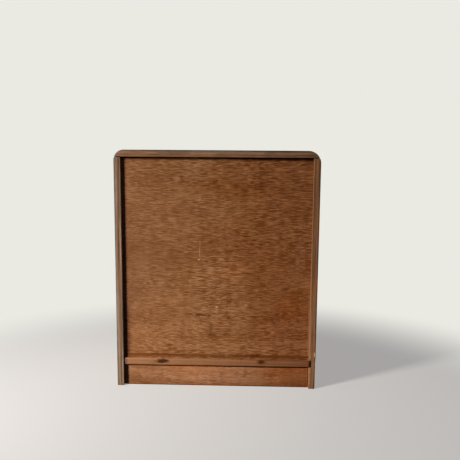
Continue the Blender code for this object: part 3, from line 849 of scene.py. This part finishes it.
    def bottom_marks(self) -> list[Mark]:
        """The two knots in the bottom board's rear edge, the spots beside them, its pinkish end with a
        painted half-shadow, and painted shade along its lower edge and beside the gap at its other end.
        """
        low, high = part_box("bottom_board")
        return [
            Tone(-0.2, low.z, (0.24, 0.02, 0.05), (0.96, 0.86, 0.82), 1, 0.2),
            Tone(0, high.z, (0.4, 0.008, 0.001), (0.74, 0.7, 0.66), 1, 0.3, straight=True),
            # Painted shade along the lower edge, beside the shadowed seam above the plinth.
            Tone(-0.06, low.z, (0.11, 0.008, 0.0014), (0.8, 0.62, 0.42), 1, 0.4, straight=True),
            Tone(-0.14, high.z, (0.1, 0.004, 0.0026), (0.88, 0.83, 0.8), 1, 0.5, straight=True),
            Mark(0.09, 0.0428, (0.021, 0.006, 0.0068), linear(172, 128, 92), 0.5, 0.3),
            Mark(0.0925, 0.0426, (0.02, 0.006, 0.0046), self.knot_rim, 0.9, 0.7),
            Mark(0.0885, 0.0434, (0.0145, 0.006, 0.0058), self.knot, 1, 0.8),
            Mark(-0.0755, 0.0444, (0.012, 0.006, 0.0062), self.knot_rim, 0.85, 0.5),
            Mark(-0.0755, 0.0444, (0.0068, 0.006, 0.0048), self.redder_knot, 1, 0.5),
            # The pinkish end by the right side board, partly its own colour and partly darkened as a
            # painted half-shadow from that board.
            Mark(0.152, 0.042, (0.006, 0.004, 0.012), linear(104, 66, 54), 0.9, 0.2),
            # Painted shade beside the gap between this end and the left side board.
            Mark(-0.1553, 0.042, (0.0022, 0.01, 0.02), linear(88, 42, 16), 0.95, 0.2, straight=True),
        ]

    def left_marks(self) -> list[Mark]:
        """The darker inner face, the seam, the pale splinter, the painted contact shade at the foot and the
        painted shade beside the bottom board's end, of the left board.
        """
        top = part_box("top_board")[0].z
        return [
            Mark(-0.151, 0.2, (0.0045, 0.03, 0.6), linear(100, 60, 32), 0.85, 0.1),
            Mark(-0.1553, 0.28, (0.0013, 0.01, 0.2), self.streak, 0.6, 0.5),
            Mark(-0.1597, 0.22, (0.0013, 0.01, 0.05), self.streak, 0.6, 0.8),
            Mark(-0.1632, 0.33, (0.0018, 0.01, 0.045), linear(118, 82, 66), 0.6, 0.5),
            Mark(-0.1618, 0.24, (0.0015, 0.01, 0.2), linear(150, 108, 84), 0.6, 0.7),
            Mark(-0.165, 0.194, (0.0016, 0.006, 0.01), self.seam, 0.8, 0.6),
            Mark(-0.16, top, (0.012, 0.006, 0.0014), self.seam, 0.8, 0.3),
            # Painted shade beside the gap at the bottom board's end.
            Mark(-0.1558, 0.0492, (0.0017, 0.004, 0.002), linear(74, 36, 14), 0.9, 0.3, straight=True),
            Mark(-0.164, 0.059, (0.003, 0.004, 0.0062), linear(190, 160, 128), 0.9, 0.4),
            # Painted contact shade at the board's foot, in the seam colour.
            Mark(-0.164, 0, (0.004, 0.006, 0.004), self.seam, 0.6, 0.5),
            Tone(-0.16, 0, (0.01, 0.03, 0.15), (1.14, 1.18, 1.35), 1, 0.3),
        ]

    def right_marks(self) -> list[Mark]:
        """The seam, the dark outer arris, the painted highlight on the inner arris and the streaks of the
        right board.
        """
        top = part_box("top_board")[0].z
        return [
            Mark(0.1655, 0.2, (0.0024, 0.01, 0.6), linear(66, 48, 36), 0.8, 0.5, straight=True),
            # Painted highlight on the rounded inner arris, which turns away from the lamp.
            Mark(0.1541, 0.25, (0.0016, 0.004, 0.25), linear(206, 188, 166), 0.8, 0.8),
            Mark(0.1607, 0.33, (0.0016, 0.01, 0.06), linear(150, 118, 95), 0.5, 0.6),
            Mark(0.1582, 0.33, (0.0012, 0.01, 0.06), self.streak, 0.4, 0.8),
            Mark(0.156, 0.235, (0.0018, 0.01, 0.06), linear(172, 140, 118), 0.8, 0.5),
            Mark(0.1588, 0.235, (0.0013, 0.01, 0.05), self.streak, 0.6, 0.6),
            Mark(0.1606, 0.1, (0.0022, 0.01, 0.12), linear(140, 114, 90), 0.5, 0.5),
            Mark(0.1575, 0.1, (0.0012, 0.01, 0.1), self.streak, 0.3, 0.7),
            # The same painted highlight on the inner arris near the foot.
            Mark(0.1552, 0.02, (0.002, 0.006, 0.07), linear(184, 156, 136), 0.7, 0.4),
            Mark(0.16, top, (0.012, 0.006, 0.0014), self.seam, 0.85, 0.3),
            Tone(0.16, 0, (0.01, 0.02, 0.22), (1.04, 1.1, 1.15), 1, 0.3),
        ]

    def top_marks(self) -> list[Mark]:
        """The dark line along the rear arris of the top board, its darker patches, the painted highlight on
        its lower arris and the seams.
        """
        dark = linear(58, 44, 30)
        low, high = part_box("top_board")
        return [
            Mark(0, high.z, (0.15, 0.004, 0.0018), dark, 0.75, 0.6, straight=True),
            Mark(-0.11, high.z, (0.045, 0.006, 0.0036), dark, 0.75, 0.8),
            Mark(-0.085, 0.3865, (0.014, 0.006, 0.005), dark, 0.35, 0.8),
            Mark(0.055, 0.3865, (0.018, 0.006, 0.005), linear(96, 66, 46), 0.4, 0.8),
            Tone(0.16, 0.3865, (0.14, 0.01, 0.05), (0.86, 0.84, 0.78), 1, 0.3),
            # Painted highlight on the rounded lower arris towards the left side board, which faces down,
            # away from the lamp.
            Tone(-0.09, 0.3815, (0.1, 0.006, 0.0024), (1.32, 1.38, 1.5), 1, 0.5, straight=True),
            Mark(0.16, low.z, (0.012, 0.006, 0.0014), self.seam, 0.85, 0.3),
            Mark(-0.16, low.z, (0.012, 0.006, 0.0014), self.seam, 0.8, 0.3),
        ]

    def plinth_marks(self) -> list[Mark]:
        """The reddish patch and the darker end of the plinth, the painted contact shade along its foot and
        the painted shade under the bottom board.
        """
        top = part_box("bottom_board")[0].z
        return [
            Tone(0.16, 0.02, (0.13, 0.004, 0.1), (0.67, 0.66, 0.62), 1, 0.3),
            Tone(-0.14, 0.02, (0.09, 0.004, 0.08), (1.02, 0.7, 0.38), 0.7, 0.4),
            Mark(0.0857, 0.0092, (0.014, 0.004, 0.006), linear(136, 74, 40), 0.3, 0.6),
            # Painted contact shade along the plinth's foot, in the seam colour.
            Mark(0, 0.0005, (0.4, 0.008, 0.0022), self.seam, 0.6, 0.3),
            # Painted shade: the plinth's top strip, in the shadow of the bottom board, turned darker and
            # redder.
            Tone(0, top, (0.4, 0.008, 0.0054), (1.06, 0.68, 0.34), 1, 0.1, straight=True),
            Mark(-0.154, 0.02, (0.0034, 0.008, 0.04), linear(160, 108, 76), 0.6, 0.2, straight=True),
        ]

    def boards(self) -> list[Board]:
        """Every board of the case, with the wood, the grain and the marks of each.

        Returns:
            The boards, in the order that they are dressed in.
        """
        boards = [
            Board("side_left", REDDER_SHADED_BOARD, Grain.HEIGHT, (0.10, 0.03, 0.7), self.left_marks()),
            Board("side_right", CASE_BOARD, Grain.HEIGHT, (-0.14, -0.02, -0.4), self.right_marks()),
            Board("top_board", TOP_BOARD, Grain.WIDTH, (0.6, 0.02, 0.15), self.top_marks()),
            Board("bottom_board", BOTTOM_BOARD, Grain.WIDTH, (-0.5, 0.05, 0.10), self.bottom_marks()),
            Board("back_panel", LAUAN, Grain.WIDTH, (0.3, -0.05, 0.25), self.panel_marks()),
            Board("plinth_back", PLINTH, Grain.WIDTH, (0.2, 0.02, -0.08), self.plinth_marks()),
            Board("plinth_front", PLINTH, Grain.WIDTH, (-0.3, -0.02, 0.12)),
        ]
        for number in range(1, DRAWER_COUNT):
            pith = (0.1 * number, -0.2, 0.03 * number)
            boards.append(Board(f"rail_{number}", FRAME_WOOD, Grain.WIDTH, pith))
            pith = (0.05, 0.3, 0.04 * number)
            boards += [Board(f"runner_{number}_{side}", FRAME_WOOD, Grain.DEPTH, pith) for side in SIDES]
        for number in range(1, DRAWER_COUNT + 1):
            pith = (0.2, 0.02 * number, -0.05)
            boards += [Board(f"stop_{number}_{side}", FRAME_WOOD, Grain.WIDTH, pith) for side in SIDES]
        for end in ("front", "back"):
            pith = (0.02, 0.03, 0.2)
            boards += [Board(f"glue_block_{end}_{side}", FRAME_WOOD, Grain.HEIGHT, pith) for side in SIDES]
        return boards

    def dress(self) -> None:
        """Dress every board."""
        for board in self.boards():
            board.dress()


# The drawers


@dataclass
class Knob:
    """A drawer's turned knob, made finer than the CAD piece that it stands for.

    It fills the CAD piece's box. Its shares are of the widest radius, but eased_share, which is of the
    collar's radius, and its lengths and places are shares of the length that shows, from the base.

    Attributes:
        node: The CAD knob's name.
        body: The drawer's body.
        base: Where the drawer front's face is, along Y.
        steps: How many flats go round it.
        curve_steps: How many rings each curve has.
        cove_power: How fast the cove narrows from the collar to the neck.
        bead_place, bead_width, bead_depth: Where the groove round the head is, as a share of the
            curve from the neck to the widest place, and its width and depth.
        pith_x, pith_z: How far the knob's middle is from the pith of its wood.
        smooth_angle: The angle in degrees below which its edges are shaded smooth.
    """

    node: str
    body: str
    base: float
    steps: int = 72
    curve_steps: int = 14
    spigot_share: float = 0.39
    collar_share: float = 0.74
    collar_length: float = 0.14
    eased_share: float = 0.06
    cove_power: float = 2.2
    neck_share: float = 0.5
    neck_place: float = 0.4
    widest_place: float = 0.69
    bead_place: float = 0.86
    bead_width: float = 0.05
    bead_depth: float = 0.018
    pith_x: float = 0.004
    pith_z: float = -0.003
    smooth_angle: float = 40

    def profile(self) -> list[tuple[float, float]]:
        """The knob's outline from the end of its spigot to its crown.

        Returns:
            Radius and Y of each ring.
        """
        low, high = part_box(self.node)
        radius, shown = (high.x - low.x) / 2, self.base - low.y
        spigot, neck = radius * self.spigot_share, radius * self.neck_share
        collar = radius * self.collar_share
        eased = self.eased_share * collar
        points = [(0, high.y), (spigot, high.y), (spigot, self.base), (collar - eased, self.base)]
        points += [(collar, self.base - eased), (collar, self.base - self.collar_length * shown + eased)]
        for share in self.shares():
            reach = neck + (collar - eased - neck) * (1 - share) ** self.cove_power
            along = self.collar_length + (self.neck_place - self.collar_length) * share
            points.append((reach, self.base - along * shown))
        for share in self.shares():
            bead = 1 - self.bead_depth * math.exp(-((share - self.bead_place) / self.bead_width) ** 2)
            reach = neck + (radius - neck) * math.sin(math.pi / 2 * share)
            along = self.neck_place + (self.widest_place - self.neck_place) * share
            points.append((reach * bead, self.base - along * shown))
        for share in self.shares():
            turn = math.pi / 2 * share
            along = self.widest_place + (1 - self.widest_place) * math.sin(turn)
            points.append((radius * math.cos(turn), self.base - along * shown))
        return [*points, (0, low.y)]

    def shares(self) -> list[float]:
        """Even shares from 0 up to 1, without 1."""
        return [i / self.curve_steps for i in range(self.curve_steps)]

    def build(self) -> None:
        """Turn the knob, dress it and hang it on its drawer in place of the CAD piece."""
        low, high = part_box(self.node)
        middle = (low + high) / 2
        bm = bmesh.new()
        rings = []
        for radius, y in self.profile():
            turns = [math.tau * i / self.steps for i in range(self.steps)] if radius else [0]
            across = [(radius * math.cos(turn), radius * math.sin(turn)) for turn in turns]
            rings.append([bm.verts.new((middle.x + x, y, middle.z + z)) for x, z in across])
        for inner, outer in zip(rings, rings[1:]):
            for i in range(self.steps):
                after = (i + 1) % self.steps
                corners = [inner[i % len(inner)], inner[after % len(inner)], outer[after % len(outer)]]
                corners.append(outer[i % len(outer)])
                bm.faces.new(dict.fromkeys(corners))
        bmesh.ops.recalc_face_normals(bm, faces=bm.faces)
        mesh = bpy.data.meshes.new(f"{self.node}_turned")
        bm.to_mesh(mesh)
        bm.free()
        mesh.shade_smooth()
        mesh.set_sharp_from_angle(angle=math.radians(self.smooth_angle))
        pith = (middle.x + self.pith_x, 0, middle.z + self.pith_z)
        mesh.materials.append(TURNED_WOOD.material(self.node, Grain.DEPTH, pith, ()))
        knob = bpy.data.objects.new(f"{self.node}_turned", mesh)
        bpy.context.scene.collection.objects.link(knob)
        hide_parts(self.node)
        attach(knob, self.body)
        log.info("turned %s with %d rings", knob.name, len(rings))


@dataclass
class Drawer:
    """One drawer and its knob.

    Attributes:
        number: The drawer's place, counted from the top.
    """

    number: int

    @property
    def name(self) -> str:
        """The drawer's name, which is its body's too."""
        return f"drawer_{self.number}"

    def dress(self) -> None:
        """Dress the drawer's boards and put on its knob."""
        number, low = self.number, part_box(f"{self.name}_front")[0]
        boards = (
            ("front", DRAWER_FRONT, Grain.WIDTH, (0.4 * number, 0, low.z + 0.03)),
            ("side_left", DRAWER_WOOD, Grain.DEPTH, (-0.1, 0.2 * number, low.z + 0.10)),
            ("side_right", DRAWER_WOOD, Grain.DEPTH, (0.22, 0.3 * number, low.z - 0.02)),
            ("back", DRAWER_WOOD, Grain.WIDTH, (0.3, 0.05, low.z + 0.02 * number)),
            ("bottom", LAUAN, Grain.WIDTH, (0.1 * number, 0.1, low.z + 0.2)),
        )
        for part, finish, grain, pith in boards:
            Board(f"{self.name}_{part}", finish, grain, pith).dress()
        Knob(f"{self.name}_knob", self.name, low.y).build()


# Light, floor and camera


@dataclass(frozen=True)
class Lamp:
    """A square soft lamp near the chest.

    Attributes:
        name: The lamp's name.
        bearing: The direction from the chest to the lamp.
        distance: How far from the middle of the chest it stands.
        aim: The place that it points at.
        size: The length of its side.
        spread: How wide its beam is, in degrees.
        power: Its power in watts.
        colour: The colour of its light.
        chest_only: Whether it lights the chest and not the floor.
    """

    name: str
    bearing: Place
    distance: float
    aim: Place
    size: float
    spread: float
    power: float
    colour: Colour = (1, 1, 1)
    chest_only: bool = False


@dataclass
class Studio:
    """The plain floor, the light and the camera.

    Attributes:
        backdrop: The colour that is seen behind the chest.
        floor: The floor's own colour where the camera sees it.
        floor_lift: The colour that its shadows are lifted to.
        floor_bounce: The floor's colour for the light that it throws back.
        fade_centre: The place that the floor fades away from, near the camera's side of the chest.
        fade_start: How far from there the floor starts to fade into the backdrop.
        fade_end: How far from there the floor is like the backdrop.
        floor_half: Half the length of the floor's side.
        fill: The strength of the light from all around.
        eye: The camera's place.
        yaw: How far the camera looks towards +X, in degrees.
        pitch: How far it looks down, in degrees.
        roll: How far it leans, in degrees.
        lens: The focal length in millimetres.
        sensor: The width of the camera's sensor in millimetres.
    """

    backdrop: Colour = linear(234, 234, 227)
    floor: Colour = linear(134, 132, 129)
    floor_lift: Colour = linear(163, 161, 160)
    floor_bounce: Colour = linear(76, 72, 68)
    fade_centre: Place = (0, 0.3, 0)
    fade_start: float = 0.46
    fade_end: float = 0.78
    floor_half: float = 3.0
    fill: float = 0.05
    eye: Place = (-0.0432, 0.9234, 0.3624)
    yaw: float = 1.53
    pitch: float = 6.937
    roll: float = 0.463
    lens: float = 39.13
    sensor: float = 36
    lamps: Sequence[Lamp] = (
        Lamp("rear_key", (0.76, 0.5, 0.38), 2.4, (0.2, 0.12, -0.2), 0.32, 50, 11.9, (1.0, 0.98, 0.95)),
        Lamp("front_key", (-0.62, -0.62, 0.48), 1.5, (0, 0, 0.2), 0.6, 120, 9, (1.0, 0.98, 0.96), True),
    )

    def build(self) -> None:
        """Set up the floor, the surroundings, the lamps and the camera."""
        self.make_floor()
        self.make_world()
        chest = bpy.data.collections.new("chest")
        bpy.context.scene.collection.children.link(chest)
        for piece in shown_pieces():
            chest.objects.link(piece)
        for lamp in self.lamps:
            self.place_lamp(lamp, chest)
        self.place_camera()

    def make_floor(self) -> None:
        """Lay a wide floor that fades into the backdrop away from the chest."""
        mesh = bpy.data.meshes.new("floor")
        bm = bmesh.new()
        bmesh.ops.create_grid(bm, x_segments=1, y_segments=1, size=self.floor_half)
        bm.to_mesh(mesh)
        bm.free()
        floor = bpy.data.objects.new("floor", mesh)
        bpy.context.scene.collection.objects.link(floor)
        floor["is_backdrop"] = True
        material = bpy.data.materials.new("pale_floor")
        material.use_nodes = True
        graph = Graph(material.node_tree)
        place = graph.node("ShaderNodeTexCoord").outputs["Object"]
        away = graph.vector("SUBTRACT", place, self.fade_centre)
        fade = graph.spread(graph.vector("LENGTH", away), self.fade_start, self.fade_end)
        lit = graph.node("ShaderNodeBsdfDiffuse", {"Color": self.floor}).outputs[0]
        lift = graph.node("ShaderNodeEmission", {"Color": self.floor_lift}).outputs[0]
        near = graph.node("ShaderNodeAddShader", {0: lit, 1: lift}).outputs[0]
        far = graph.node("ShaderNodeEmission", {"Color": self.backdrop}).outputs[0]
        shown = graph.node("ShaderNodeMixShader", {0: fade, 1: near, 2: far}).outputs[0]
        bounce = graph.node("ShaderNodeBsdfDiffuse", {"Color": self.floor_bounce}).outputs[0]
        seen = graph.node("ShaderNodeLightPath").outputs["Is Camera Ray"]
        surface = graph.node("ShaderNodeMixShader", {0: seen, 1: bounce, 2: shown}).outputs[0]
        graph.node("ShaderNodeOutputMaterial", {"Surface": surface})
        mesh.materials.append(material)

    def make_world(self) -> None:
        """Light the scene faintly from all around, and show the camera a plain pale backdrop."""
        world = bpy.data.worlds.new("studio")
        bpy.context.scene.world = world
        world.use_nodes = True
        graph = Graph(world.node_tree)
        fill = graph.node("ShaderNodeBackground", {"Color": (1, 1, 1), "Strength": self.fill}).outputs[0]
        shown = graph.node("ShaderNodeBackground", {"Color": self.backdrop, "Strength": 1}).outputs[0]
        path = graph.node("ShaderNodeLightPath").outputs
        seen = graph.maths("MAXIMUM", path["Is Camera Ray"], path["Is Glossy Ray"])
        both = graph.node("ShaderNodeMixShader", {0: seen, 1: fill, 2: shown}).outputs[0]
        graph.node("ShaderNodeOutputWorld", {"Surface": both})

    def place_lamp(self, lamp: Lamp, chest: bpy.types.Collection) -> None:
        """Put up one lamp.

        Args:
            lamp: The lamp.
            chest: The collection that a lamp for the chest alone lights.
        """
        light = bpy.data.lights.new(lamp.name, "AREA")
        light.size = lamp.size
        light.energy = lamp.power
        light.color = lamp.colour
        light.spread = math.radians(lamp.spread)
        holder = bpy.data.objects.new(lamp.name, light)
        middle = (cad_box[0] + cad_box[1]) / 2
        holder.location = middle + Vector(lamp.bearing).normalized() * lamp.distance
        away = holder.location - Vector(lamp.aim)
        holder.rotation_euler = away.to_track_quat("Z", "Y").to_euler()
        bpy.context.scene.collection.objects.link(holder)
        if lamp.chest_only:
            holder.light_linking.receiver_collection = chest

    def place_camera(self) -> None:
        """Set up the camera as the photograph was taken, looking at the back of the chest."""
        camera = bpy.data.cameras.new("camera")
        camera.lens = self.lens
        camera.sensor_width = self.sensor
        holder = bpy.data.objects.new("camera", camera)
        yaw, pitch, roll = (math.radians(angle) for angle in (self.yaw, self.pitch, self.roll))
        level = Vector((math.sin(yaw), -math.cos(yaw), 0))
        forward = level * math.cos(pitch) + Vector((0, 0, -math.sin(pitch)))
        level_right = level.cross(Vector((0, 0, 1)))
        level_up = level_right.cross(forward)
        right = level_right * math.cos(roll) + level_up * math.sin(roll)
        up = right.cross(forward)
        turn = Matrix((right, up, -forward)).transposed()
        holder.matrix_world = Matrix.Translation(self.eye) @ turn.to_4x4()
        bpy.context.scene.collection.objects.link(holder)
        bpy.context.scene.camera = holder


def main() -> None:
    """Dress the case and the drawers, and set up the studio."""
    logging.basicConfig(level=logging.INFO, format="%(name)s: %(message)s")
    bpy.context.scene.view_settings.view_transform = "Standard"
    Case().dress()
    for number in range(1, DRAWER_COUNT + 1):
        Drawer(number).dress()
    Studio().build()


if __name__ == "__main__":
    main()
